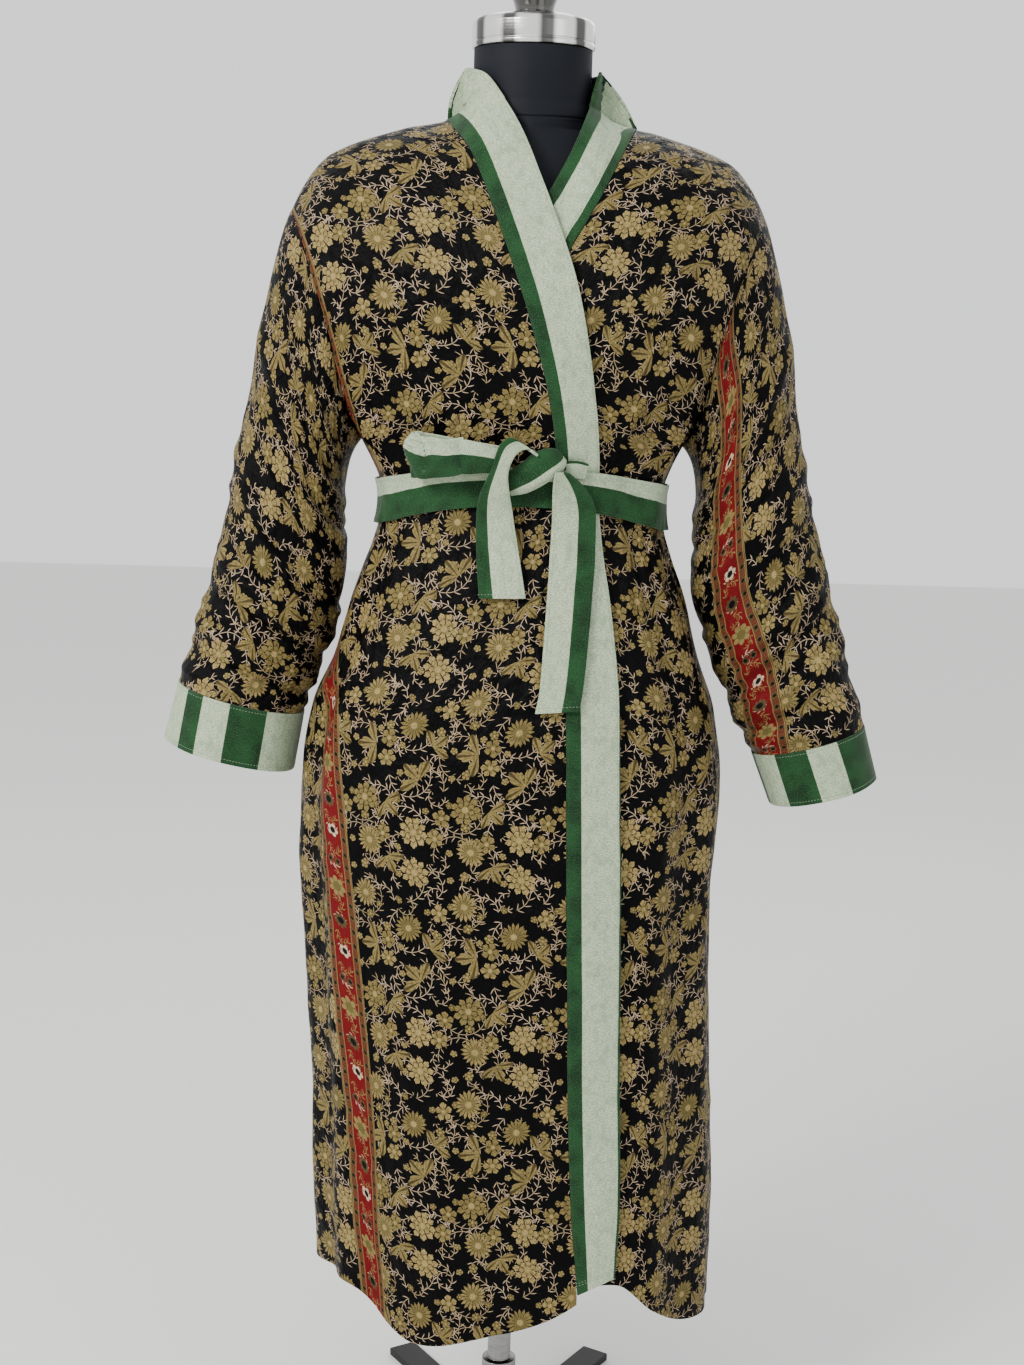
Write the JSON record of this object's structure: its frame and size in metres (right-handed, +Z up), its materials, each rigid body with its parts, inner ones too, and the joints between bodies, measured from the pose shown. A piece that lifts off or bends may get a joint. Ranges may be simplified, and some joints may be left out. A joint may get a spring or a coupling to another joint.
{
  "type": "kimono robe on limbless dress form",
  "caption": "Long wrap-front kimono robe with straight sleeves, velvet front bands, cuffs and tied sash, standing on a limbless dress form with a pole and flat base.",
  "frame": {"origin": "centre of the base's underside on the floor, on the pole's axis", "axes": "+Z up, the robe faces -Y, +X to the right of someone who looks at its front"},
  "size_m": [0.763, 0.3996, 1.627],
  "materials": {
    "satin": "black satin with an all-over print of gold and peach flowers, and woven red borders",
    "velvet": "short-pile velvet in dark green and pale sage stripes",
    "form_cover": "matte black stretched cover",
    "form_metal": "brushed and polished chrome",
    "form_finial": "dark gloss",
    "stand": "satin black paint"
  },
  "bodies": {
    "root": {"robe_front_right": "satin", "robe_front_left": "satin", "robe_back": "satin", "robe_sleeve_right": "satin", "robe_sleeve_left": "satin", "robe_cuff_right": "velvet", "robe_cuff_left": "velvet", "robe_band_right": "velvet", "robe_band_left": "velvet", "robe_band_neck": "velvet", "sash_wrap": "velvet", "sash_loop": "velvet", "sash_knot": "velvet", "sash_stub": "velvet", "sash_tail_short": "velvet", "sash_tail_long": "velvet", "form_torso": "form_cover", "form_cap": "form_metal", "form_finial": "form_finial", "form_pole": "form_metal", "stand_hub": "stand", "stand_base": "stand"}
  },
  "joints": []
}
